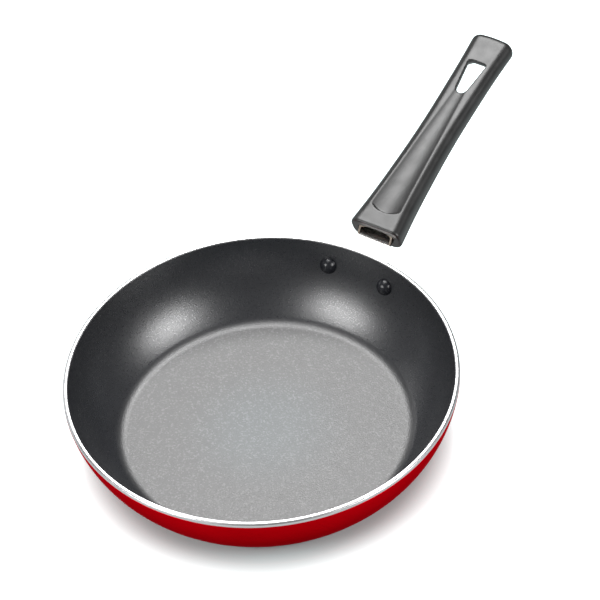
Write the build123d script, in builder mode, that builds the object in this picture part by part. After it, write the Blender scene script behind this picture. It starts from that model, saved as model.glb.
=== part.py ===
from build123d import *
import os
from math import acos, atan2, cos, degrees, radians, sin, sqrt

# Omelette pan, 24 cm across the rim, in millimetres.
# Origin: centre of the flat underside. +Z is up, +Y points along the handle.
# A pressed aluminium pan with a non-stick skin inside and an enamel skin outside,
# a folded steel bracket riveted to the wall, and a moulded handle screwed to its tang.

# Pan body
rim_radius = 120.0
pan_height = 51.0
wall_thickness = 2.8
base_thickness = 3.0
foot_round = 17.0
foot_angle = 41.0
rim_angle = 82.4
floor_round = 12.5
rim_outer_round = 1.1
rim_inner_round = 0.3
ring_count = 7
ring_width = 2.4
ring_depth = 0.35
ring_inner_radius = 17.0
ring_margin = 6.0

# Skins on the pan body
coating_thickness = 0.3
enamel_thickness = 0.25
enamel_foot_angle = 24.0
bare_rim_height = 2.8
coating_rim_gap = 0.25

# Where the handle stands: its front face's gap to the pan and drop below the rim, and its rise
handle_gap = 16.4
handle_front_drop = 0.575
handle_rise = 13.2

# Bracket, one folded sheet of steel
sheet = 1.2
tang_width = 23.6
tang_length = 43.6
tang_bottom = 2.6
tang_side_height = 5.4
tang_crown = 1.4
tang_corner = 1.3
mouth_recess = 1.6
mouth_slant = 5.0
flare_start = 1.4
flare_radius = 16.0
flare_angle = 46.0
flange_drop = 9.8
flange_height = 13.0
bend_round = 3.0

# Rivets
rivet_spread = 20.8
rivet_drop = 16.4
rivet_shank_radius = 2.4
rivet_hole_clearance = 0.1
rivet_head_radius = 5.3
rivet_head_height = 4.7
rivet_collar = 0.9
rivet_tail_radius = 4.2
rivet_tail_height = 1.6
rivet_tail_round = 0.9

# Handle, measured along its own axis from the front face
handle_length = 160.2
handle_width = 36.8
handle_thickness = 17.8
handle_side_draft = 1.2
handle_end_round = 3.8
handle_end_bulge = 2.2
handle_end_trim = 0.8
handle_front_round = 1.3
socket_clearance = 0.2
socket_extra_depth = 2.0
slot_length = 25.0
slot_end_wall = 24.0
slot_front_half_width = 3.9
slot_rear_half_width = 6.2
slot_corner = 2.0
slot_wall_depth = 3.2
slot_relief_angle = 32.0

# Stations of the handle as shares of its length, and its size there as shares of the front's
station_shares = (0.0, 0.13, 0.26, 0.385, 0.515, 0.64, 0.77, 0.90, 1.0)
width_shares = (1.0, 0.885, 0.806, 0.752, 0.720, 0.722, 0.742, 0.787, 0.815)
thickness_shares = (1.0, 0.99, 0.938, 0.876, 0.82, 0.764, 0.716, 0.688, 0.669)
top_shares = (0.478, 0.473, 0.463, 0.449, 0.435, 0.415, 0.401, 0.387, 0.377)
top_round_shares = (0.36, 0.37, 0.39, 0.41, 0.43, 0.45, 0.48, 0.52, 0.54)
bottom_round_share = 0.42

# Thumb channel in the top of the handle
channel_front = 12.0
channel_corner = 16.0
channel_half_width = 10.9
channel_end_half_width = 4.0
channel_depth = 1.9
channel_overlap = 6.0

# Screw from below, its spring washer and the nut inside the tang
screw_setback = 22.6
screw_radius = 2.5
screw_head_radius = 4.5
screw_head_height = 2.5
screw_head_round = 0.9
screw_length = 8.0
screw_hole_clearance = 0.2
screw_seat_wall = 1.8
counterbore_clearance = 0.7
recess_width = 1.2
recess_length = 5.2
recess_depth = 1.6
washer_radius = 4.4
washer_thickness = 1.1
washer_gap = 0.9
washer_clearance = 0.1
nut_flats = 8.0
nut_height = 2.7
nut_clearance = 0.05
nut_chamfer = 0.4

# Overrun of cutting tools past the surface that they cut
cut = 5.0

os.makedirs("parts", exist_ok=True)


def save(piece, name):
    piece.part.label = name
    export_step(piece.part, f"parts/{name}.step")


# The outside of the pan is two tangent arcs, the foot and the wall, and the inside follows it.
foot_cos = cos(radians(foot_angle))
foot_sin = sin(radians(foot_angle))
wall_round = (pan_height - foot_round * (1 - foot_cos)) / (foot_cos - cos(radians(rim_angle)))
flat_radius = (
    rim_radius - wall_round * (sin(radians(rim_angle)) - foot_sin) - foot_round * foot_sin
)
wall_centre = (
    flat_radius + (foot_round - wall_round) * foot_sin,
    foot_round + (wall_round - foot_round) * foot_cos,
)


def wall_point(offset, angle):
    """A point of the wall's arc, offset outwards, at a slope angle."""
    reach = wall_round + offset
    turn = radians(angle)
    return (wall_centre[0] + reach * sin(turn), wall_centre[1] - reach * cos(turn))


def foot_point(offset, angle):
    """A point of the foot's arc, offset outwards, at a slope angle."""
    reach = foot_round + offset
    turn = radians(angle)
    return (flat_radius + reach * sin(turn), foot_round - reach * cos(turn))


def wall_angle(offset, height):
    """The slope angle where the offset wall passes a height."""
    return degrees(acos((wall_centre[1] - height) / (wall_round + offset)))


# The round between floor and wall touches both, so its centre serves every inner layer.
floor_round_height = base_thickness + floor_round
floor_radius = wall_centre[0] + sqrt(
    (wall_round - wall_thickness - floor_round) ** 2 - (wall_centre[1] - floor_round_height) ** 2
)
floor_angle = degrees(
    atan2(floor_radius - wall_centre[0], wall_centre[1] - floor_round_height)
)


def floor_point(inset, angle):
    """A point of the floor's round, inset into the pan, at a slope angle."""
    reach = floor_round - inset
    turn = radians(angle)
    return (floor_radius + reach * sin(turn), floor_round_height - reach * cos(turn))


def outer_outline(offset, top):
    """Draws the pan's outside from the axis to a height, offset outwards."""
    end = wall_angle(offset, top)
    Line((0, -offset), foot_point(offset, 0))
    ThreePointArc(
        foot_point(offset, 0), foot_point(offset, foot_angle / 2), foot_point(offset, foot_angle)
    )
    ThreePointArc(
        wall_point(offset, foot_angle),
        wall_point(offset, (foot_angle + end) / 2),
        wall_point(offset, end),
    )


def inner_outline(inset, top):
    """Draws the pan's inside from a height down to the axis, inset from the metal."""
    offset = -wall_thickness - inset
    start = wall_angle(offset, top)
    ThreePointArc(
        wall_point(offset, start),
        wall_point(offset, (start + floor_angle) / 2),
        wall_point(offset, floor_angle),
    )
    ThreePointArc(
        floor_point(inset, floor_angle), floor_point(inset, floor_angle / 2), floor_point(inset, 0)
    )
    Line(floor_point(inset, 0), (0, base_thickness + inset))


# The handle's frame: local x is across, local y is up from its middle, local z is along it.
handle_front = rim_radius + handle_gap
along = (0, cos(radians(handle_rise)), sin(radians(handle_rise)))
upward = (0, -sin(radians(handle_rise)), cos(radians(handle_rise)))
front_point = (0, handle_front, pan_height - handle_front_drop)
section_plane = Plane(origin=front_point, x_dir=(-1, 0, 0), z_dir=along)
plan_plane = Plane(origin=front_point, x_dir=(1, 0, 0), z_dir=upward)
side_plane = Plane(origin=front_point, x_dir=along, z_dir=(1, 0, 0))
handle_axis = Axis(front_point, along)

# Rivet frames: on the outside of the enamel, local z pointing into the pan.
rivet_height = pan_height - rivet_drop
rivet_slope = wall_angle(enamel_thickness, rivet_height)
rivet_foot = wall_point(enamel_thickness, rivet_slope)
rivet_turn = degrees(atan2(rivet_spread, sqrt(rivet_foot[0] ** 2 - rivet_spread**2)))
rivet_planes = []
for turn in (rivet_turn, -rivet_turn):
    outward = Vector(0, 1, 0).rotate(Axis.Z, turn)
    inward = -outward * sin(radians(rivet_slope)) + Vector(0, 0, cos(radians(rivet_slope)))
    seat = outward * rivet_foot[0] + Vector(0, 0, rivet_foot[1])
    rivet_planes.append(Plane(origin=seat, x_dir=inward.cross(Vector(0, 0, 1)), z_dir=inward))
rivet_hole_radius = rivet_shank_radius + rivet_hole_clearance
rivet_grip = sheet + wall_thickness + coating_thickness + enamel_thickness + cut


def drill_rivet_holes():
    """Cuts both rivet holes through whatever is being built."""
    for plane in rivet_planes:
        with BuildSketch(plane.offset(-rivet_grip)) as hole:
            Circle(rivet_hole_radius)
        extrude(hole.sketch, amount=2 * rivet_grip, mode=Mode.SUBTRACT)


def wall_strip(inner, outer, low_angle, top_inner, top_outer):
    """Draws the closed outline between two offsets of the wall's arc."""
    for skin, end in ((inner, top_inner), (outer, top_outer)):
        ThreePointArc(
            wall_point(skin, low_angle), wall_point(skin, (low_angle + end) / 2), wall_point(skin, end)
        )
    Line(wall_point(inner, low_angle), wall_point(outer, low_angle))
    Line(wall_point(inner, top_inner), wall_point(outer, top_outer))


# Pan body: a revolved pressing with turned rings under the base and a bare rim.
ring_pitch = (flat_radius - ring_margin - ring_inner_radius) / (ring_count - 1)

with BuildPart() as pan_body:
    with BuildSketch(Plane.XZ):
        with BuildLine():
            outer_outline(0, pan_height)
            Line(
                wall_point(0, rim_angle),
                wall_point(-wall_thickness, wall_angle(-wall_thickness, pan_height)),
            )
            inner_outline(0, pan_height)
            Line((0, base_thickness), (0, 0))
        make_face()
        for ring in range(ring_count):
            with Locations((ring_inner_radius + ring * ring_pitch, 0)):
                Rectangle(ring_width, 2 * ring_depth, mode=Mode.SUBTRACT)
    revolve(axis=Axis.Z)
    rim_edges = pan_body.edges().filter_by(GeomType.CIRCLE).group_by(Axis.Z)[-1]
    fillet(rim_edges.sort_by(SortBy.RADIUS)[-1], rim_outer_round)
    rim_edges = pan_body.edges().filter_by(GeomType.CIRCLE).group_by(Axis.Z)[-1]
    fillet(rim_edges.sort_by(SortBy.RADIUS)[0], rim_inner_round)
    drill_rivet_holes()

# Non-stick skin over the floor and the inside of the wall.
coating_top = pan_height - rim_inner_round - coating_rim_gap

with BuildPart() as cooking_coating:
    with BuildSketch(Plane.XZ):
        with BuildLine():
            inner_outline(0, coating_top)
            inner_outline(coating_thickness, coating_top)
            Line(
                wall_point(-wall_thickness, wall_angle(-wall_thickness, coating_top)),
                wall_point(
                    -wall_thickness - coating_thickness,
                    wall_angle(-wall_thickness - coating_thickness, coating_top),
                ),
            )
            Line((0, base_thickness), (0, base_thickness + coating_thickness))
        make_face()
    revolve(axis=Axis.Z)
    drill_rivet_holes()

# Enamel skin over the outside of the wall, from just above the underside to below the rim.
enamel_top = pan_height - bare_rim_height

with BuildPart() as outer_enamel:
    with BuildSketch(Plane.XZ):
        with BuildLine():
            for skin in (0, enamel_thickness):
                ThreePointArc(
                    foot_point(skin, enamel_foot_angle),
                    foot_point(skin, (enamel_foot_angle + foot_angle) / 2),
                    foot_point(skin, foot_angle),
                )
                wall_end = wall_angle(skin, enamel_top)
                ThreePointArc(
                    wall_point(skin, foot_angle),
                    wall_point(skin, (foot_angle + wall_end) / 2),
                    wall_point(skin, wall_end),
                )
            Line(foot_point(0, enamel_foot_angle), foot_point(enamel_thickness, enamel_foot_angle))
            Line(
                wall_point(0, wall_angle(0, enamel_top)),
                wall_point(enamel_thickness, wall_angle(enamel_thickness, enamel_top)),
            )
        make_face()
    revolve(axis=Axis.Z)
    drill_rivet_holes()

# Bracket: a flange that hugs the wall, a web that narrows like a trumpet, and a tang
# folded into a flat tube whose mouth is cut back towards the pan.
plate_bottom = -tang_bottom
plate_top = plate_bottom + sheet
web_reach = handle_gap + pan_height / 2
flare_middle_angle = radians(flare_angle / 2)
flare_end_angle = radians(flare_angle)
web_half_width = tang_width / 2 + flare_radius * (1 - cos(flare_end_angle))
flange_skin = enamel_thickness


def tang_profile(inset):
    """A closed face of the folded tang's section, inset from its outside."""
    half = tang_width / 2 - inset
    low = plate_bottom + inset
    high = plate_bottom + tang_side_height - inset
    with BuildSketch(Plane.XY, mode=Mode.PRIVATE) as profile:
        with BuildLine():
            Polyline((-half, high), (-half, low), (half, low), (half, high))
            ThreePointArc((half, high), (0, high + tang_crown), (-half, high))
        make_face()
        fillet(profile.vertices(), tang_corner - inset / 2)
    return profile.sketch


# The outline that the flange and web are cut to, as a block to keep.
with BuildPart() as bracket_blank:
    with BuildSketch(Plane.XZ):
        with Locations((0, pan_height - flange_drop - flange_height / 2)):
            SlotCenterToCenter(2 * rivet_spread, flange_height)
    extrude(amount=-handle_front)
    with BuildSketch(plan_plane.offset(plate_bottom - flange_height / 2)):
        with BuildLine():
            neck = (tang_width / 2, -flare_start)
            flare_middle = (
                neck[0] + flare_radius * (1 - cos(flare_middle_angle)),
                neck[1] - flare_radius * sin(flare_middle_angle),
            )
            flare_end = (web_half_width, neck[1] - flare_radius * sin(flare_end_angle))
            Polyline((0, 0), (tang_width / 2, 0), neck)
            ThreePointArc(neck, flare_middle, flare_end)
            Polyline(flare_end, (web_half_width, -web_reach), (0, -web_reach))
            mirror(about=Plane.YZ)
        make_face()
    extrude(amount=flange_height)

with BuildPart() as bracket:
    # A wide shell, concentric with the wall, meets a wide plate in two bends.
    with BuildSketch(Plane.XZ):
        with BuildLine():
            wall_strip(flange_skin, flange_skin + sheet, foot_angle, rim_angle, rim_angle)
        make_face()
    revolve(axis=Axis.Z)
    with BuildSketch(plan_plane.offset(plate_bottom)):
        Rectangle(rim_radius, web_reach, align=(Align.CENTER, Align.MAX))
    extrude(amount=sheet)
    with BuildSketch(plan_plane.offset(plate_top)):
        Rectangle(4 * rim_radius, 4 * rim_radius)
    extrude(amount=pan_height, mode=Mode.SUBTRACT)
    with BuildSketch(Plane.XZ):
        with BuildLine():
            outer_outline(enamel_thickness, pan_height)
            Polyline(
                wall_point(enamel_thickness, wall_angle(enamel_thickness, pan_height)),
                (0, pan_height),
                (0, -enamel_thickness),
            )
        make_face()
    revolve(axis=Axis.Z, mode=Mode.SUBTRACT)
    with BuildSketch(Plane.XZ):
        Rectangle(rim_radius, 2 * pan_height, align=(Align.CENTER, Align.MIN))
    extrude(amount=-2 * rim_radius, mode=Mode.INTERSECT)
    for level, bend in ((plate_top, bend_round), (plate_bottom, bend_round - sheet)):
        bend_edges = bracket.edges().filter_by(GeomType.LINE, reverse=True)
        bend_edges = bend_edges.filter_by(
            lambda edge: abs(plan_plane.to_local_coords(edge.center()).Z - level) < sheet / 4
        )
        fillet(bend_edges.sort_by(Axis.Y)[-1], bend)
    add(bracket_blank.part, mode=Mode.INTERSECT)
    # The tang is a closed tube. Its mouth is cut at a slant, from inside the handle outwards.
    outside = tang_profile(0)
    inside = tang_profile(sheet)
    with BuildSketch(section_plane.offset(mouth_recess - mouth_slant)):
        add(outside)
        add(inside, mode=Mode.SUBTRACT)
    extrude(amount=mouth_slant - mouth_recess + tang_length)
    with BuildSketch(side_plane):
        Polygon(
            (mouth_recess, tang_width),
            (mouth_recess, plate_bottom + tang_side_height),
            (mouth_recess - mouth_slant, plate_top),
            (-2 * mouth_slant, plate_top),
            (-2 * mouth_slant, tang_width),
            align=None,
        )
    extrude(amount=tang_width, both=True, mode=Mode.SUBTRACT)
    # The screw passes the lower wall of the tang.
    with BuildSketch(plan_plane.offset(plate_bottom - sheet)):
        with Locations((0, screw_setback)):
            Circle(screw_radius + screw_hole_clearance)
    extrude(amount=2 * sheet + sheet / 2, mode=Mode.SUBTRACT)
    drill_rivet_holes()

# Rivets: a domed head inside the pan, a shank, and a flat tail upset on the flange.
# Both ends are cut to the curved surfaces that they are drawn up against.
coating_skin = -wall_thickness - coating_thickness
head_seat = enamel_thickness - coating_skin
tail_seat = -sheet

with BuildPart() as riveted_wall:
    with BuildSketch(Plane.XZ):
        with BuildLine():
            wall_strip(coating_skin, flange_skin + sheet, foot_angle, rim_angle, rim_angle)
        make_face()
    revolve(axis=Axis.Z)

for plane, name in zip(rivet_planes, ("rivet_left", "rivet_right")):
    axis_plane = Plane(origin=plane.origin, x_dir=plane.x_dir, z_dir=-plane.y_dir)
    rivet_axis = Axis(plane.origin, plane.z_dir)
    with BuildPart() as rivet:
        with BuildSketch(axis_plane):
            with BuildLine():
                crown = head_seat + rivet_head_height
                shoulder = head_seat + rivet_collar
                Polyline((0, crown), (0, head_seat / 2), (rivet_head_radius, head_seat / 2))
                Line((rivet_head_radius, head_seat / 2), (rivet_head_radius, shoulder))
                cap_height = rivet_head_height - rivet_collar
                ball = (rivet_head_radius**2 + cap_height**2) / (2 * cap_height)
                RadiusArc((rivet_head_radius, shoulder), (0, crown), -ball)
            make_face()
        revolve(axis=rivet_axis)
        with BuildSketch(plane.offset(tail_seat - rivet_tail_height)) as tail:
            Circle(rivet_tail_radius)
        extrude(amount=rivet_tail_height + sheet / 2)
        fillet(rivet.edges().group_by(rivet_axis)[0], rivet_tail_round)
        add(riveted_wall.part, mode=Mode.SUBTRACT)
        with BuildSketch(plane.offset(tail_seat - rivet_tail_height / 2)):
            Circle(rivet_shank_radius)
        extrude(amount=head_seat - tail_seat + rivet_tail_height)
    save(rivet, name)

save(pan_body, "pan_body")
save(cooking_coating, "cooking_coating")
save(outer_enamel, "outer_enamel")
save(bracket, "bracket")


# Handle: sections along its own axis, with a flat top that the thumb channel is cut into.
def top_at(distance):
    """Height of the handle's top over its axis at a distance from the front face."""
    stations = [share * handle_length for share in station_shares]
    tops = [share * handle_thickness for share in top_shares]
    for start, end, low, high in zip(stations, stations[1:], tops, tops[1:]):
        if distance <= end:
            return low + (high - low) * (distance - start) / (end - start)
    return tops[-1]


screw_seat = plate_bottom - socket_clearance - screw_seat_wall
slot_rear = handle_length - slot_end_wall
slot_front = slot_rear - slot_length
channel_taper = (channel_half_width - channel_end_half_width) / (slot_front - channel_corner)
channel_stations = [
    channel_front - channel_overlap,
    *(s * handle_length for s in station_shares if channel_corner < s * handle_length < slot_front),
    slot_front + channel_overlap,
]

with BuildPart() as channel:
    for distance in channel_stations:
        half = channel_half_width - channel_taper * (distance - channel_corner)
        top = top_at(distance)
        with BuildSketch(section_plane.offset(distance)):
            with BuildLine():
                Polyline((half, top), (half, top + cut), (-half, top + cut), (-half, top))
                depth = channel_depth * half / channel_half_width
                ThreePointArc((-half, top), (0, top - depth), (half, top))
            make_face()
    loft()
    with BuildSketch(plan_plane):
        with BuildLine():
            rear_edge = slot_front + 2 * channel_overlap
            ThreePointArc(
                (-channel_half_width, channel_corner),
                (0, channel_front),
                (channel_half_width, channel_corner),
            )
            Polyline(
                (channel_half_width, channel_corner),
                (channel_half_width, rear_edge),
                (-channel_half_width, rear_edge),
                (-channel_half_width, channel_corner),
            )
        make_face()
    extrude(amount=handle_thickness, mode=Mode.INTERSECT)

with BuildPart() as handle_grip:
    for station, width, thickness, top_share, round_share in zip(
        station_shares, width_shares, thickness_shares, top_shares, top_round_shares
    ):
        half = width * handle_width / 2
        depth = thickness * handle_thickness
        top = top_share * handle_thickness
        draft = thickness * handle_side_draft
        with BuildSketch(section_plane.offset(station * handle_length)) as section:
            Polygon(
                (-half, top),
                (half, top),
                (half - draft, top - depth),
                (draft - half, top - depth),
                align=None,
            )
            corners = section.vertices().group_by(Axis.Y)
            fillet(corners[-1], round_share * depth)
            corners = section.vertices().group_by(Axis.Y)
            fillet(corners[0], bottom_round_share * depth)
    loft()
    # The rear end stands upright and bulges a little in plan.
    with BuildSketch(Plane.XY):
        with BuildLine():
            top_rear = section_plane.from_local_coords((0, top_at(handle_length), handle_length))
            end_middle = top_rear.Y - handle_end_trim
            end_corner = end_middle - handle_end_bulge
            ThreePointArc(
                (handle_width / 2, end_corner), (0, end_middle), (-handle_width / 2, end_corner)
            )
            Polyline(
                (-handle_width / 2, end_corner),
                (-handle_width, rim_radius),
                (handle_width, rim_radius),
                (handle_width / 2, end_corner),
            )
        make_face()
    extrude(amount=handle_length, mode=Mode.INTERSECT)
    fillet(handle_grip.faces().sort_by(handle_axis)[-1].edges(), handle_end_round)
    fillet(handle_grip.faces().sort_by(handle_axis)[0].edges(), handle_front_round)
    add(channel.part, mode=Mode.SUBTRACT)
    # The hanging slot is narrow towards the pan and wide at the rear. Its wall is shallow,
    # because the underside opens out below it.
    slot_level = top_at(slot_rear)
    with BuildSketch(plan_plane.offset(slot_level - slot_wall_depth)) as slot:
        rear_inside = slot_rear_half_width - slot_corner
        with Locations((0, slot_front + slot_front_half_width)):
            Circle(slot_front_half_width)
        with Locations(
            (-rear_inside, slot_rear - slot_corner), (rear_inside, slot_rear - slot_corner)
        ):
            Circle(slot_corner)
        make_hull()
    extrude(amount=handle_thickness, mode=Mode.SUBTRACT)
    extrude(
        slot.sketch, amount=-handle_thickness, taper=-slot_relief_angle, mode=Mode.SUBTRACT
    )
    # The socket takes the tang with a small clearance all round.
    with BuildSketch(section_plane.offset(-cut)):
        add(tang_profile(-socket_clearance))
    extrude(amount=cut + tang_length + socket_extra_depth, mode=Mode.SUBTRACT)
    # The screw's hole, and the counterbore for its head and washer.
    with BuildSketch(plan_plane):
        with Locations((0, screw_setback)):
            Circle(screw_radius + screw_hole_clearance)
    extrude(amount=-handle_thickness, mode=Mode.SUBTRACT)
    with BuildSketch(plan_plane.offset(screw_seat)):
        with Locations((0, screw_setback)):
            Circle(screw_head_radius + counterbore_clearance)
    extrude(amount=-handle_thickness, mode=Mode.SUBTRACT)
save(handle_grip, "handle_grip")

# Spring washer: a split ring under the screw's head.
with BuildPart() as spring_washer:
    with BuildSketch(plan_plane.offset(screw_seat - washer_thickness)):
        with Locations((0, screw_setback)):
            Circle(washer_radius)
            Circle(screw_radius + washer_clearance, mode=Mode.SUBTRACT)
        with Locations((0, screw_setback + washer_radius)):
            Rectangle(washer_gap, 2 * washer_radius, mode=Mode.SUBTRACT)
    extrude(amount=washer_thickness)
save(spring_washer, "spring_washer")

# Screw: a pan head with a cross recess, and a plain shank in place of its thread.
head_top = screw_seat - washer_thickness

with BuildPart() as handle_screw:
    with BuildSketch(plan_plane.offset(head_top - screw_head_height)):
        with Locations((0, screw_setback)):
            Circle(screw_head_radius)
    extrude(amount=screw_head_height)
    underside = handle_screw.faces().sort_by(Axis(front_point, upward))[0]
    fillet(underside.edges(), screw_head_round)
    with BuildSketch(plan_plane.offset(head_top)):
        with Locations((0, screw_setback)):
            Circle(screw_radius)
    extrude(amount=screw_length)
    with BuildSketch(plan_plane.offset(head_top - screw_head_height)):
        with Locations((0, screw_setback)):
            Rectangle(recess_length, recess_width)
            Rectangle(recess_width, recess_length)
    extrude(amount=recess_depth, mode=Mode.SUBTRACT)
save(handle_screw, "handle_screw")

# Nut: a thin hexagon that sits on the tang's lower wall, inside the tube.
with BuildPart() as tang_nut:
    with BuildSketch(plan_plane.offset(plate_top)):
        with Locations((0, screw_setback)):
            RegularPolygon(nut_flats / 2, 6, major_radius=False)
            Circle(screw_radius + nut_clearance, mode=Mode.SUBTRACT)
    extrude(amount=nut_height)
    hex_faces = tang_nut.faces().sort_by(Axis(front_point, upward))
    chamfer(hex_faces[-1].edges().filter_by(GeomType.LINE), nut_chamfer)
save(tang_nut, "tang_nut")
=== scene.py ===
# %% [markdown]
# # An omelette pan
# This lesson dresses a finished CAD model of a pan for a studio picture. The CAD gives the
# sizes and the places. Blender gives turned metal, a speckled non-stick skin, red enamel,
# a moulded handle, a camera and soft light. Lengths are in metres, +Z is up, and the
# handle points along +Y.

# %% Load the CAD pieces
from math import acos, atan2, cos, degrees, pi, radians, sin, sqrt

import bpy
from mathutils import Matrix, Vector


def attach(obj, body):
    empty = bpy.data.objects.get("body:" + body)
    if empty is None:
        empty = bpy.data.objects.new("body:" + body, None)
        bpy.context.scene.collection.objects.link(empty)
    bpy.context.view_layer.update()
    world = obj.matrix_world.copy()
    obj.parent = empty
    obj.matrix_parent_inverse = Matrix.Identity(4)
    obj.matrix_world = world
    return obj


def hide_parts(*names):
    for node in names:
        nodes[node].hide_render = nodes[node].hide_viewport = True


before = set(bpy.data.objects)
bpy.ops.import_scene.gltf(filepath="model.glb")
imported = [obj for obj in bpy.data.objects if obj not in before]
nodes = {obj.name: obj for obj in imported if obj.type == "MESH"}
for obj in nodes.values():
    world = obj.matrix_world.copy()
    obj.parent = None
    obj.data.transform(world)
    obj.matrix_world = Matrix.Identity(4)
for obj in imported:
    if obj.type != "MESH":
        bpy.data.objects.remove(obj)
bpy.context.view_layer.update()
print("CAD pieces:", ", ".join(sorted(nodes)))

# %% [markdown]
# ## The camera
# The picture was taken with a long lens from far away, so near and far parts of the pan
# keep nearly the same size. The camera's tilt and roll were found from the two ellipses
# that the rim and the floor make, and its turn from the way the handle points. Its distance
# was chosen, because with so long a lens it hardly changes the picture. The camera is placed
# by three arrows: where its right side, its top and its lens point.

# %% Camera values
MM = 0.001
PICTURE_SIZE = 600
CAMERA_TURN = radians(34.85)
CAMERA_TILT = radians(45.45)
CAMERA_ROLL = radians(5.13)
CAMERA_REACH = 2.483
PIXELS_PER_METRE = 1664.3
RIM_CENTRE = Vector((0, 0, 0.051))
RIM_CENTRE_PIXEL = (260.9, 375.0)
SENSOR_WIDTH = 36.0

# %% Place the camera
away = Vector((-sin(CAMERA_TURN), cos(CAMERA_TURN), 0))
level = Vector((cos(CAMERA_TURN), sin(CAMERA_TURN), 0))
look = away * cos(CAMERA_TILT) - Vector((0, 0, sin(CAMERA_TILT)))
top = away * sin(CAMERA_TILT) + Vector((0, 0, cos(CAMERA_TILT)))
side_arrow = level * cos(CAMERA_ROLL) - top * sin(CAMERA_ROLL)
top_arrow = top * cos(CAMERA_ROLL) + level * sin(CAMERA_ROLL)
across, down = ((pixel - PICTURE_SIZE / 2) / PIXELS_PER_METRE for pixel in RIM_CENTRE_PIXEL)
spot = RIM_CENTRE - side_arrow * across + top_arrow * down - look * CAMERA_REACH

camera_data = bpy.data.cameras.new("picture_camera")
camera_data.sensor_width = SENSOR_WIDTH
camera_data.lens = SENSOR_WIDTH * PIXELS_PER_METRE * CAMERA_REACH / PICTURE_SIZE
camera = bpy.data.objects.new("picture_camera", camera_data)
bpy.context.collection.objects.link(camera)
camera.matrix_world = Matrix.Translation(spot) @ Matrix(
    (side_arrow, top_arrow, -look)
).transposed().to_4x4()
bpy.context.scene.camera = camera
print("lens", round(camera_data.lens, 1), "mm, standing at", tuple(round(v, 3) for v in spot))

# %% [markdown]
# ## The pan's outline
# A real pan is pressed from a disc and then turned on a lathe, so its shape is one outline
# swept round an axis. The outline here follows the CAD's: a small arc for the foot, a large
# one for the wall, and a round between wall and floor. We draw the points of
# each arc with a slope angle, because a slope is easy to check: 0 is flat, 90 is upright.

# %% Sizes of the pan
RIM_RADIUS = 120 * MM
PAN_HEIGHT = 51 * MM
WALL = 2.8 * MM
BASE = 3.0 * MM
FOOT_ROUND = 17 * MM
FOOT_SLOPE = 41
RIM_SLOPE = 82.4
FLOOR_ROUND = 12.5 * MM
COATING = 0.3 * MM
ENAMEL = 0.25 * MM

foot_cos, foot_sin = cos(radians(FOOT_SLOPE)), sin(radians(FOOT_SLOPE))
wall_round = (PAN_HEIGHT - FOOT_ROUND * (1 - foot_cos)) / (foot_cos - cos(radians(RIM_SLOPE)))
flat_radius = RIM_RADIUS - wall_round * (sin(radians(RIM_SLOPE)) - foot_sin) - FOOT_ROUND * foot_sin
wall_centre_r = flat_radius + (FOOT_ROUND - wall_round) * foot_sin
wall_centre_z = FOOT_ROUND + (wall_round - FOOT_ROUND) * foot_cos
floor_centre_z = BASE + FLOOR_ROUND
floor_radius = wall_centre_r + sqrt(
    (wall_round - WALL - FLOOR_ROUND) ** 2 - (wall_centre_z - floor_centre_z) ** 2
)
floor_slope = degrees(atan2(floor_radius - wall_centre_r, wall_centre_z - floor_centre_z))
print("flat underside", round(2000 * flat_radius, 1), "mm")
print("floor", round(2000 * floor_radius, 1), "mm")


# %% Arcs of the outline
def steps(first, last, count):
    """Evenly spaced values, both ends included."""
    return [first + (last - first) * i / (count - 1) for i in range(count)]


def arc(centre_r, centre_z, reach, slopes):
    """Points of an arc that bulges down and outwards, by slope."""
    return [
        (centre_r + reach * sin(radians(s)), centre_z - reach * cos(radians(s))) for s in slopes
    ]


def wall_arc(offset, slopes):
    return arc(wall_centre_r, wall_centre_z, wall_round + offset, slopes)


def foot_arc(offset, slopes):
    return arc(flat_radius, FOOT_ROUND, FOOT_ROUND + offset, slopes)


def floor_arc(inset, slopes):
    return arc(floor_radius, floor_centre_z, FLOOR_ROUND - inset, slopes)


def wall_slope(offset, height):
    """The slope where the wall, offset outwards, passes a height."""
    return degrees(acos((wall_centre_z - height) / (wall_round + offset)))


print("wall slope at half height", round(wall_slope(0, PAN_HEIGHT / 2), 1))

# %% [markdown]
# ## From outline to round piece
# The Spin tool turns a drawn line into a lathe shape. We draw the line by extruding one
# vertex from point to point, spin it once round the Z axis, and weld the seam.

# %% Lathe helper
ROUND_STEPS = 224
WELD = 0.002 * MM


def deselect():
    bpy.ops.object.select_all(action="DESELECT")


def use(piece):
    """Makes a piece the only selected and the active object."""
    deselect()
    piece.select_set(True)
    bpy.context.view_layer.objects.active = piece


def turned(name, outline, smooth_angle=30):
    """A piece made by spinning an outline of (radius, height) points round the Z axis."""
    deselect()
    bpy.ops.mesh.primitive_plane_add(size=MM)
    piece = bpy.context.object
    piece.name = piece.data.name = name
    bpy.ops.object.mode_set(mode="EDIT")
    bpy.ops.mesh.select_all(action="SELECT")
    bpy.ops.mesh.merge(type="CENTER")
    radius, height = outline[0]
    bpy.ops.transform.translate(value=(radius, 0, height))
    for (r0, z0), (r1, z1) in zip(outline, outline[1:]):
        bpy.ops.mesh.extrude_vertices_move(
            TRANSFORM_OT_translate={"value": (r1 - r0, 0, z1 - z0)}
        )
    bpy.ops.mesh.select_all(action="SELECT")
    bpy.ops.mesh.spin(steps=ROUND_STEPS, angle=2 * pi, center=(0, 0, 0), axis=(0, 0, 1))
    bpy.ops.mesh.select_all(action="SELECT")
    bpy.ops.mesh.remove_doubles(threshold=WELD)
    bpy.ops.mesh.normals_make_consistent(inside=False)
    bpy.ops.object.mode_set(mode="OBJECT")
    use(piece)
    bpy.ops.object.shade_smooth_by_angle(angle=radians(smooth_angle))
    print(name, len(piece.data.polygons), "faces")
    return piece


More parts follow.
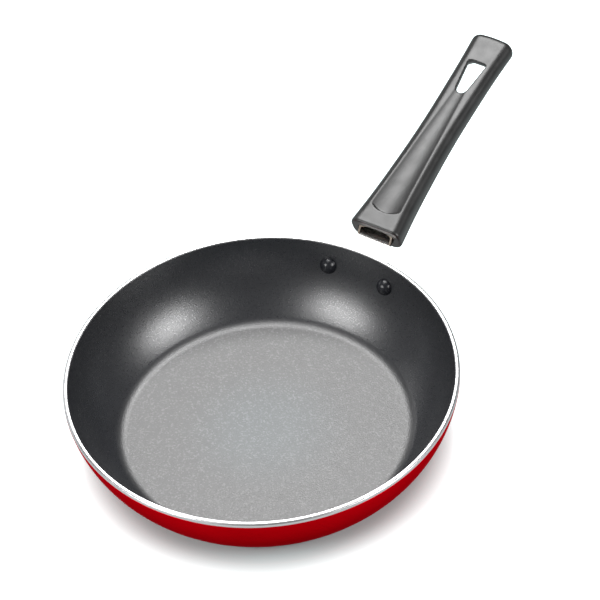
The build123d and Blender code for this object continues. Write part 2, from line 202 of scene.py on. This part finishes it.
# %% [markdown]
# ## The turned pan body
# On the real pan the rim's top is a bare, turned land about as wide as the wall is thick,
# with its edges broken by the lathe. The underside is taken to be turned too, with shallow
# rings that keep the base flat when it heats. Both edges of the rim are given small rounds
# here, because a sharp edge never catches the light as a real one does. The outer round is
# a little larger than the CAD's.

# %% Rim and underside outline
RIM_OUTER_ROUND = 1.5 * MM
RIM_INNER_ROUND = 0.3 * MM
RING_COUNT = 7
RING_WIDTH = 2.4 * MM
RING_DEPTH = 0.35 * MM
RING_INNER = 17 * MM
RING_MARGIN = 6 * MM


def broken_edge(corner_r, corner_z, size, sideways):
    """A quarter round that takes a corner off; sideways is +1 for an outer corner."""
    return [
        (
            corner_r - sideways * size * (1 - sin(radians(t))),
            corner_z - size * (1 - cos(radians(t))),
        )
        for t in steps(90, 0, 7)
    ]


def ring_groove(middle):
    """A shallow groove under the base with rounded walls, from its outer to its inner side."""
    half = RING_WIDTH / 2
    return [
        (middle + half * share, RING_DEPTH * min(1, 4 * (1 - abs(share))) ** 0.5)
        for share in (1, 0.97, 0.9, 0.8, 0, -0.8, -0.9, -0.97, -1)
    ]


outer_top = wall_slope(0, PAN_HEIGHT - RIM_OUTER_ROUND)
inner_top = wall_slope(-WALL, PAN_HEIGHT - RIM_INNER_ROUND)
ring_pitch = (flat_radius - RING_MARGIN - RING_INNER) / (RING_COUNT - 1)
body_outline = [(0, 0)]
for ring in range(RING_COUNT):
    body_outline += ring_groove(RING_INNER + ring * ring_pitch)[::-1]
body_outline += foot_arc(0, steps(0, FOOT_SLOPE, 12))
body_outline += wall_arc(0, steps(FOOT_SLOPE, outer_top, 30))[1:]
body_outline += broken_edge(body_outline[-1][0], PAN_HEIGHT, RIM_OUTER_ROUND, 1)[1:]
inner_corner = wall_arc(-WALL, [inner_top])[0][0]
body_outline += broken_edge(inner_corner, PAN_HEIGHT, RIM_INNER_ROUND, -1)[::-1]
body_outline += wall_arc(-WALL, steps(inner_top, floor_slope, 24))[1:]
body_outline += floor_arc(0, steps(floor_slope, 0, 10))[1:]
body_outline += [(0, BASE)]
print(len(body_outline), "points")

# %% Spin the body
body = turned("pan_body_turned", body_outline)
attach(body, "root")
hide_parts("pan_body")

# %% [markdown]
# ## The two skins
# The non-stick skin covers the floor and the inside of the wall and stops just under the
# rim. The enamel covers the outside and stops lower, which leaves a bare band of metal.
# Each is a thin closed shell with a softly rounded lip, as paint draws itself at an edge.

# %% Non-stick skin
COATING_TOP = PAN_HEIGHT - 0.55 * MM
BARE_BAND = 2.8 * MM
ENAMEL_FOOT_SLOPE = 24

coat_top = wall_slope(-WALL, COATING_TOP)
lip = [
    wall_arc(-WALL - COATING * share, [wall_slope(-WALL, COATING_TOP - COATING * drop)])[0]
    for share, drop in ((0, 0), (0.35, 0.06), (0.7, 0.25), (0.92, 0.6), (1, 1.1))
]
skin_outline = [(0, BASE + COATING)]
skin_outline += floor_arc(COATING, steps(0, floor_slope, 16))
skin_outline += wall_arc(-WALL - COATING, steps(floor_slope, coat_top, 40))[1:-1]
skin_outline += lip[::-1]
skin_outline += wall_arc(-WALL, steps(coat_top, floor_slope, 24))[1:]
skin_outline += floor_arc(0, steps(floor_slope, 0, 8))[1:]
skin_outline += [(0, BASE)]
skin = turned("non_stick_skin", skin_outline)
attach(skin, "root")
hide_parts("cooking_coating")

# %% Enamel skin
enamel_top = wall_slope(0, PAN_HEIGHT - BARE_BAND)
enamel_lip = [
    wall_arc(ENAMEL * share, [wall_slope(0, PAN_HEIGHT - BARE_BAND - ENAMEL * drop)])[0]
    for share, drop in ((1, 1.2), (0.9, 0.6), (0.65, 0.25), (0.3, 0.05), (0, 0))
]
enamel_outline = foot_arc(ENAMEL, steps(ENAMEL_FOOT_SLOPE, FOOT_SLOPE, 8))
enamel_outline += wall_arc(ENAMEL, steps(FOOT_SLOPE, enamel_top, 32))[1:-1]
enamel_outline += enamel_lip
enamel_outline += wall_arc(0, steps(enamel_top, FOOT_SLOPE, 32))[1:]
enamel_outline += foot_arc(0, steps(FOOT_SLOPE, ENAMEL_FOOT_SLOPE, 8))[1:]
enamel_outline += enamel_outline[:1]
enamel = turned("enamel_skin", enamel_outline)
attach(enamel, "root")
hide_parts("outer_enamel")

# %% [markdown]
# ## The handle
# The handle is one moulding in black plastic. A mould cannot make sharp edges, so the slot,
# the thumb channel and the socket all have small rounds. We copy the CAD shape, cover it
# with an even mesh by a voxel Remesh, and let a Smooth modifier round every edge alike.

# %% Soften the handle's edges
VOXEL = 0.46 * MM
SOFTENING_ROUNDS = 8


def finished(piece, kind, **settings):
    """Adds a modifier to a piece, sets it and applies it."""
    use(piece)
    modifier = piece.modifiers.new(kind.lower(), kind)
    for key, value in settings.items():
        setattr(modifier, key, value)
    bpy.ops.object.modifier_apply(modifier=modifier.name)


def copy_of(node, name):
    """A free copy of a CAD piece, with its loose triangles welded."""
    piece = bpy.data.objects.new(name, nodes[node].data.copy())
    bpy.context.collection.objects.link(piece)
    use(piece)
    bpy.ops.object.mode_set(mode="EDIT")
    bpy.ops.mesh.select_all(action="SELECT")
    bpy.ops.mesh.remove_doubles(threshold=WELD)
    bpy.ops.object.mode_set(mode="OBJECT")
    return piece


grip = copy_of("handle_grip", "grip_moulding")
finished(grip, "REMESH", mode="VOXEL", voxel_size=VOXEL)
finished(grip, "SMOOTH", factor=0.5, iterations=SOFTENING_ROUNDS)
bpy.ops.object.shade_smooth()
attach(grip, "root")
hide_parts("handle_grip")
print("grip", len(grip.data.polygons), "faces")

# %% [markdown]
# ## Materials
# Every finish starts from the Principled shader. What is the same all over sits on the
# shader itself; what changes over the surface comes from noise on Object coordinates, in
# metres, so a scale of 1000 gives a grain of about a millimetre.


# %% Material helpers
def new_material(name, **settings):
    """A material with a Principled shader; settings are its sockets, by name."""
    material = bpy.data.materials.new(name)
    material.use_nodes = True
    shader = material.node_tree.nodes["Principled BSDF"]
    for key, value in settings.items():
        shader.inputs[key.replace("_", " ")].default_value = value
    return material, shader


def add(material, kind, inputs=None, **settings):
    """Adds a node; inputs are numbers, colours or sockets for its input sockets."""
    node = material.node_tree.nodes.new("ShaderNode" + kind)
    for key, value in settings.items():
        setattr(node, key, value)
    for key, value in (inputs or {}).items():
        if isinstance(value, bpy.types.NodeSocket):
            material.node_tree.links.new(value, node.inputs[key])
        else:
            node.inputs[key].default_value = value
    return node


def wire(material, source, target):
    material.node_tree.links.new(source, target)


def place(material):
    """Object coordinates."""
    return add(material, "TexCoord").outputs["Object"]


def ramp(material, value, *stops):
    """A colour ramp with (position, grey or colour) stops."""
    node = add(material, "ValToRGB", {"Fac": value})
    elements = node.color_ramp.elements
    while len(elements) < len(stops):
        elements.new(0.5)
    for element, (position, shade) in zip(elements, stops):
        element.position = position
        element.color = (*shade, 1) if isinstance(shade, tuple) else (shade, shade, shade, 1)
    return node.outputs["Color"]


def noise(material, where, scale, detail=3.0, roughness=0.5):
    return add(
        material,
        "TexNoise",
        {"Vector": where, "Scale": scale, "Detail": detail, "Roughness": roughness},
    ).outputs["Fac"]


def bump(material, shader, height, strength, distance, before=None):
    """Adds relief from a height to the shader, on top of an earlier bump if one is given."""
    inputs = {"Height": height, "Strength": strength, "Distance": distance}
    if before is not None:
        inputs["Normal"] = before
    node = add(material, "Bump", inputs)
    wire(material, node.outputs["Normal"], shader.inputs["Normal"])
    return node.outputs["Normal"]


def mixed(material, share, first, second):
    """A mix of two colours."""
    node = add(material, "Mix", data_type="RGBA")
    inputs = ((node.inputs[0], share), (node.inputs[6], first), (node.inputs[7], second))
    for socket, value in inputs:
        if isinstance(value, bpy.types.NodeSocket):
            wire(material, value, socket)
        else:
            socket.default_value = (*value, 1) if isinstance(value, tuple) else value
    return node.outputs[2]


def radius_from_axis(material, where):
    """Distance from the Z axis."""
    flat = add(material, "VectorMath", {0: where, 1: (1, 1, 0)}, operation="MULTIPLY")
    return add(material, "VectorMath", {0: flat.outputs[0]}, operation="LENGTH").outputs["Value"]


def dress(piece, material):
    piece.data.materials.clear()
    piece.data.materials.append(material)
    print(piece.name, "wears", material.name)


# %% [markdown]
# ## Turned aluminium
# The lathe leaves fine rings round the rim and the base. We could model them, but they are
# far finer than the mesh, so a one-dimensional noise on the distance from the axis makes
# them in the roughness and in a slight relief.

# %% Turned aluminium
metal, metal_shader = new_material(
    "turned_aluminium", Metallic=1.0, Roughness=0.24, Base_Color=(0.80, 0.80, 0.81, 1)
)
where = place(metal)
distance = radius_from_axis(metal, where)
rings = add(metal, "TexNoise", {"W": distance, "Scale": 6000, "Detail": 2.0}, noise_dimensions="1D")
broad = noise(metal, where, 60)
satin = ramp(metal, rings.outputs["Fac"], (0.3, 0.28), (0.7, 0.42))
wire(metal, satin, metal_shader.inputs["Roughness"])
wire(
    metal,
    ramp(metal, broad, (0.3, (0.74, 0.74, 0.755)), (0.7, (0.83, 0.83, 0.835))),
    metal_shader.inputs["Base Color"],
)
bump(metal, metal_shader, rings.outputs["Fac"], 0.25, 0.00003)
dress(body, metal)

# %% [markdown]
# ## Non-stick skin
# The coating is a near black paint with light flecks and a fine grain. The floor looks pale
# only because it mirrors the light behind the pan. Here the floor has flecks and the wall
# is plain, so both colours are mixed by the distance from the axis. The floor is also duller,
# and its middle gets a painted sheen: a bluer, lighter colour for the tint of the mirrored light.

# %% Where floor and wall meet
FLOOR_EDGE = (0.085, 0.092)
# Where the painted blue sheen in the floor's middle fades out, by distance from the axis.
PAINTED_SHEEN_MIDDLE = (0.010, 0.060)
FLECK_SCALE = 1100
COAT_GRAIN_SCALE = 1250
FLOOR_WEAR = 0.14
WALL_RELIEF = 0.45

# %% Non-stick finish
coat, coat_shader = new_material("speckled_non_stick", Roughness=0.34, IOR=2.2)
where = place(coat)
from_axis = radius_from_axis(coat, where)
on_floor = add(
    coat, "MapRange", {0: from_axis, 1: FLOOR_EDGE[0], 2: FLOOR_EDGE[1], 3: 1.0, 4: 0.0}
).outputs[0]
flecks = add(coat, "TexVoronoi", {"Vector": where, "Scale": FLECK_SCALE}, feature="F1")
fleck_value = add(coat, "SeparateColor", {"Color": flecks.outputs["Color"]}).outputs[0]
clouds = noise(coat, where, 40)
plain = ramp(coat, clouds, (0.3, (0.010, 0.011, 0.015)), (0.7, (0.014, 0.0155, 0.020)))
flecked = ramp(coat, fleck_value, (0.0, 0.006), (0.7, 0.012), (1.0, 0.11))
# Painted sheen: a bluer, lighter colour for the floor's middle, standing in for the tint of the
# mirrored back light.
painted_blue_sheen = ramp(
    coat,
    fleck_value,
    (0.0, (0.016, 0.030, 0.036)),
    (0.7, (0.024, 0.040, 0.046)),
    (1.0, (0.12, 0.14, 0.15)),
)
sheen_share = add(
    coat,
    "MapRange",
    {0: from_axis, 1: PAINTED_SHEEN_MIDDLE[0], 2: PAINTED_SHEEN_MIDDLE[1], 3: 1.0, 4: 0.0},
    interpolation_type="SMOOTHSTEP",
).outputs[0]
speckled_with_sheen = mixed(coat, sheen_share, flecked, painted_blue_sheen)
wire(coat, mixed(coat, on_floor, plain, speckled_with_sheen), coat_shader.inputs["Base Color"])
grain = noise(coat, where, COAT_GRAIN_SCALE, 2.0)
satin = add(coat, "MapRange", {0: grain, 1: 0.3, 2: 0.7, 3: 0.25, 4: 0.38}).outputs[0]
worn = add(coat, "Math", {0: on_floor, 1: FLOOR_WEAR}, operation="MULTIPLY").outputs[0]
rough = add(coat, "Math", {0: satin, 1: worn}, operation="ADD").outputs[0]
wire(coat, rough, coat_shader.inputs["Roughness"])
relief_share = add(
    coat, "MapRange", {0: on_floor, 1: 0.0, 2: 1.0, 3: WALL_RELIEF, 4: 1.0}
).outputs[0]
relief = add(coat, "Math", {0: grain, 1: relief_share}, operation="MULTIPLY").outputs[0]
bump(coat, coat_shader, relief, 1.0, 0.00017)
dress(skin, coat)

# %% [markdown]
# ## Red enamel
# The outside is a deep, even red. A plain glossy paint would mirror the white studio as a
# pale haze over it, so the shader is half metallic and its mirror image is tinted red.

# %% Red enamel
red, red_shader = new_material(
    "red_enamel",
    Metallic=0.5,
    Roughness=0.32,
    Specular_IOR_Level=0.0,
    Specular_Tint=(0.5, 0.0, 0.004, 1),
)
where = place(red)
broad = noise(red, where, 25)
wire(
    red,
    ramp(red, broad, (0.35, (0.74, 0.001, 0.011)), (0.65, (0.82, 0.0012, 0.013))),
    red_shader.inputs["Base Color"],
)
bump(red, red_shader, noise(red, where, 350, 1.0), 0.08, 0.0001)
dress(enamel, red)

# %% [markdown]
# ## Moulded handle plastic
# The handle is black, and looks grey on top because it mirrors the light behind the pan. A
# mottle in colour and roughness and a faint grain keep it from looking like glass.

# %% Moulded handle plastic
black, black_shader = new_material("moulded_black", Roughness=0.38, IOR=1.72)
where = place(black)
mottle = noise(black, where, 120, 4.0)
wire(black, ramp(black, mottle, (0.3, 0.008), (0.7, 0.014)), black_shader.inputs["Base Color"])
grain = noise(black, where, 900, 2.0)
wire(black, ramp(black, mottle, (0.3, 0.34), (0.7, 0.42)), black_shader.inputs["Roughness"])
bump(black, black_shader, grain, 0.15, 0.00005)
dress(grip, black)

# %% [markdown]
# ## Polished bracket steel
# The bracket is bright sheet with a faint grain along the handle. The press leaves its cut
# edges duller and darker than its faces. A CAD piece's mesh stays as it is, so the shader
# finds them by place: the tang's mouth lies on a slanted plane and on one square to the
# handle. Every face that faces sideways is also made dull and near black, which is painted
# shade for the dark outline that shade gives the bracket's sides.

# %% Where the cut edges lie
HANDLE_RISE = radians(13.2)
along = Vector((0, cos(HANDLE_RISE), sin(HANDLE_RISE)))
upright = Vector((0, -sin(HANDLE_RISE), cos(HANDLE_RISE)))
HANDLE_FRONT = Vector((0, 136.4, 50.425)) * MM
MOUTH_TOP = (1.6 * MM, 2.8 * MM)
MOUTH_BOTTOM = (-3.4 * MM, -1.4 * MM)
CUT_WINDOW = 0.06 * MM
# How far a face must point sideways to get the painted shade.
SHADED_SIDE_FACING = 0.55
cut_top, cut_bottom = (HANDLE_FRONT + along * a + upright * b for a, b in (MOUTH_TOP, MOUTH_BOTTOM))
slant = Vector((1, 0, 0)).cross(cut_top - cut_bottom).normalized()


def near_plane(material, where, point, arrow):
    """1 on the plane through a point that faces along an arrow, and 0 elsewhere."""
    height = add(material, "VectorMath", {0: where, 1: tuple(arrow)}, operation="DOT_PRODUCT")
    values = {0: height.outputs["Value"], 1: point.dot(arrow), 2: CUT_WINDOW}
    return add(material, "Math", values, operation="COMPARE").outputs[0]


# %% Polished bracket steel
steel, steel_shader = new_material("polished_steel", Metallic=1.0, Roughness=0.2)
where = place(steel)
stretched = add(steel, "Mapping", {"Vector": where, "Scale": (1, 0.03, 1)}).outputs["Vector"]
lines = noise(steel, stretched, 3000, 2.0)
on_cut = [near_plane(steel, where, cut_top, arrow) for arrow in (slant, along)]
facing = add(steel, "NewGeometry").outputs["Normal"]
facing = add(steel, "VectorMath", {0: facing}, operation="ABSOLUTE").outputs[0]
sideways = add(steel, "SeparateXYZ", {0: facing}).outputs[0]
# Faces that point sideways get painted shade: a near-black colour for the dark outline that shade
# gives the bracket's sides.
painted_shade_sides = add(steel, "Math", {0: sideways, 1: SHADED_SIDE_FACING}, operation="GREATER_THAN").outputs[0]
cut_edges_and_shaded_sides = add(steel, "Math", {0: on_cut[0], 1: on_cut[1]}, operation="MAXIMUM").outputs[0]
cut_edges_and_shaded_sides = add(steel, "Math", {0: cut_edges_and_shaded_sides, 1: painted_shade_sides}, operation="MAXIMUM").outputs[0]
polish = ramp(steel, lines, (0.3, 0.16), (0.7, 0.26))
wire(steel, mixed(steel, cut_edges_and_shaded_sides, polish, (0.55, 0.55, 0.55)), steel_shader.inputs["Roughness"])
sheen, nicks = noise(steel, where, 80), noise(steel, where, 1500)
bright = ramp(steel, sheen, (0.3, (0.80, 0.785, 0.76)), (0.7, (0.86, 0.85, 0.83)))
burr = ramp(steel, nicks, (0.3, (0.20, 0.17, 0.14)), (0.7, (0.36, 0.32, 0.27)))
worked = mixed(steel, cut_edges_and_shaded_sides, bright, burr)
# The near-black colour here is painted shade on the sideways faces; the cut edges at the mouth get
# the duller burr colour.
wire(steel, mixed(steel, painted_shade_sides, worked, (0.06, 0.052, 0.045)), steel_shader.inputs["Base Color"])
bump(steel, steel_shader, lines, 0.1, 0.00002)
dress(nodes["bracket"], steel)

# %% [markdown]
# ## Rivets and fasteners
# The rivets have a black coat, glossier than the pan's, so each head shows small spots of
# light. The screw, the washer and the nut are hidden in the handle and get bright zinc.

# %% Black rivets
gloss, gloss_shader = new_material("black_rivet_coat", Roughness=0.25, IOR=1.55)
where = place(gloss)
specks = noise(gloss, where, 900)
wire(
    gloss,
    ramp(gloss, specks, (0.3, (0.010, 0.011, 0.014)), (0.7, (0.020, 0.021, 0.026))),
    gloss_shader.inputs["Base Color"],
)
bump(gloss, gloss_shader, noise(gloss, where, 700, 2.0), 0.12, 0.00005)
for name in ("rivet_left", "rivet_right"):
    dress(nodes[name], gloss)

# %% Plated fasteners
zinc, zinc_shader = new_material("bright_zinc", Metallic=1.0, Roughness=0.3)
where = place(zinc)
wire(
    zinc,
    ramp(zinc, noise(zinc, where, 500), (0.3, (0.55, 0.56, 0.57)), (0.7, (0.68, 0.68, 0.67))),
    zinc_shader.inputs["Base Color"],
)
bump(zinc, zinc_shader, noise(zinc, where, 2500, 2.0), 0.15, 0.00003)
for name in ("handle_screw", "spring_washer", "tang_nut"):
    dress(nodes[name], zinc)

# %% [markdown]
# ## The floor
# The floor is white paper just under the pan. The camera sees it white, while the pan sees
# it dim, so that it doesn't flood the dark handle with light. Light Path tells the two
# apart. The paper's own glow starts under the pan's wall and is full just past the rim,
# which leaves a short shadow. The paper is tinted against the red that the enamel throws
# on it.

# %% Floor values
FLOOR_SIZE = 8
FLOOR_DROP = 0.1 * MM
GLOSSY_SHARE = 0.25
GLOW_START = 0.096
GLOW_FULL = 0.127
DIM_PAPER = (0.22, 0.22, 0.22)
SEEN_PAPER = (0.76, 0.96, 0.96)

# %% Floor
bpy.ops.mesh.primitive_plane_add(size=FLOOR_SIZE, location=(0, 0, -FLOOR_DROP))
floor = bpy.context.object
floor.name = "studio_floor"
paper, paper_shader = new_material(
    "white_paper", Roughness=0.8, Specular_IOR_Level=0.1, Base_Color=(0.88, 0.88, 0.88, 1)
)
rays = add(paper, "LightPath").outputs
direct = {0: rays["Is Camera Ray"], 1: rays["Is Transmission Ray"]}
seen = add(paper, "Math", direct, operation="MAXIMUM")
mirrored = add(paper, "Math", {0: rays["Is Glossy Ray"], 1: GLOSSY_SHARE}, operation="MULTIPLY")
seen = add(paper, "Math", {0: seen.outputs[0], 1: mirrored.outputs[0]}, operation="MAXIMUM")
paper_shade = mixed(paper, seen.outputs[0], DIM_PAPER, SEEN_PAPER)
wire(paper, paper_shade, paper_shader.inputs["Base Color"])
paper_shader.inputs["Emission Color"].default_value = (1, 1, 1, 1)
away_from_pan = radius_from_axis(paper, place(paper))
spread = add(
    paper,
    "MapRange",
    {0: away_from_pan, 1: GLOW_START, 2: GLOW_FULL, 3: 0.0, 4: 1.0},
    interpolation_type="SMOOTHSTEP",
)
glow = add(paper, "Math", {0: seen.outputs[0], 1: spread.outputs[0]}, operation="MULTIPLY")
wire(paper, glow.outputs[0], paper_shader.inputs["Emission Strength"])
dress(floor, paper)

# %% [markdown]
# ## The light
# Product pictures use large soft boxes. The back box hangs above and behind the pan: the
# floor and the handle's top mirror it, so they look light grey although they are nearly
# black. A weaker top box hangs almost overhead, and a dim card stands low behind the pan on
# the left. Two side boxes stand left and right of the camera and make the two soft patches
# on the back wall. Everything else in the studio is dim.


# %% Soft boxes
def soft_box(name, turn, height, reach, width, length, radiance):
    """An area light aimed at the pan. Turn is counted from the camera's right, away is 90."""
    flat = level * cos(radians(turn)) + away * sin(radians(turn))
    towards = flat * cos(radians(height)) + Vector((0, 0, sin(radians(height))))
    light = bpy.data.lights.new(name, "AREA")
    light.shape = "RECTANGLE"
    light.size, light.size_y = width, length
    light.energy = radiance * pi * width * length
    lamp = bpy.data.objects.new(name, light)
    lamp.location = RIM_CENTRE + towards * reach
    lamp.rotation_euler = towards.to_track_quat("Z", "Y").to_euler()
    bpy.context.collection.objects.link(lamp)
    print(name, round(light.energy), "W")


soft_box("back_box", 89, 58, 1.6, 0.8, 0.8, 8.9)
soft_box("top_box", 102, 82, 1.6, 1.1, 0.5, 1.8)
soft_box("back_card", 137, 14, 1.8, 1.3, 0.7, 1.0)
soft_box("left_box", 211, 33, 1.5, 0.72, 0.56, 7.0)
soft_box("right_box", -31, 31, 1.5, 0.72, 0.56, 7.0)

# %% Dim studio
STUDIO_LIGHT = 0.15
WHITE = 1.0
world = bpy.data.worlds.new("studio")
world.use_nodes = True
background = world.node_tree.nodes["Background"]
background.inputs["Color"].default_value = (1, 1, 1, 1)
camera_ray = add(world, "LightPath").outputs["Is Camera Ray"]
strength = add(world, "MapRange", {0: camera_ray, 3: STUDIO_LIGHT, 4: WHITE}).outputs[0]
wire(world, strength, background.inputs["Strength"])
bpy.context.scene.world = world
bpy.context.scene.view_settings.view_transform = "Standard"
